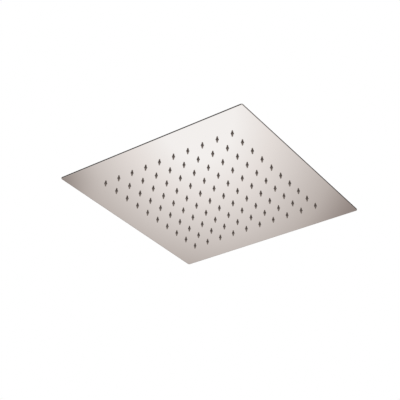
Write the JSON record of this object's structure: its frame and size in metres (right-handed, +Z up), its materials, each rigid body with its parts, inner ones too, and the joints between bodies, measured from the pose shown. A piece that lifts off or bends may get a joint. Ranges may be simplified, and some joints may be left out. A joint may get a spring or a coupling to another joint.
{
  "type": "rain shower head",
  "caption": "Thin square rain shower head: mirror-polished steel face with a grid of silicone nozzles, pressed back plate and a ball-joint inlet with a pipe-thread socket.",
  "frame": {"origin": "centre of the mouth of the inlet thread, at the top of the ball connector", "axes": "+Z up along the inlet's axis and out of its mouth, +X along the rows of nozzles; the face looks down, along -Z"},
  "size_m": [0.3, 0.3, 0.0597],
  "materials": {
    "polished_steel": "stainless sheet, mirror polished",
    "chromed_brass": "turned brass, bright chrome plate",
    "silicone": "moulded silicone, satin",
    "seal_rubber": "moulded nitrile rubber, matt",
    "acetal": "moulded acetal, satin",
    "screen_steel": "stainless wire mesh, satin"
  },
  "bodies": {
    "arm_connector": {"ball_connector": "chromed_brass", "filter_washer": "seal_rubber", "filter_screen": "screen_steel"},
    "ring": {"friction_ring": "acetal"},
    "seal": {"cup_seal": "seal_rubber"},
    "head": {"face_plate": "polished_steel", "back_plate": "polished_steel", "inlet_boss": "polished_steel", "collar_nut": "chromed_brass", "nozzle_row_01": "silicone", "nozzle_row_02": "silicone", "nozzle_row_03": "silicone", "nozzle_row_04": "silicone", "nozzle_row_05": "silicone", "nozzle_row_06": "silicone", "nozzle_row_07": "silicone", "nozzle_row_08": "silicone", "nozzle_row_09": "silicone", "nozzle_row_10": "silicone"}
  },
  "joints": [
    {"name": "tilt_x", "type": "hinge", "parent": "arm_connector", "child": "ring", "pos_m": [0, 0, -0.03342], "axis": [1, 0, 0], "range_deg": [-10, 10]},
    {"name": "tilt_y", "type": "hinge", "parent": "ring", "child": "seal", "pos_m": [0, 0, -0.03342], "axis": [0, 1, 0], "range_deg": [-10, 10]},
    {"name": "swivel", "type": "hinge", "parent": "seal", "child": "head", "pos_m": [0, 0, -0.03342], "axis": [0, 0, 1], "continuous": true}
  ]
}
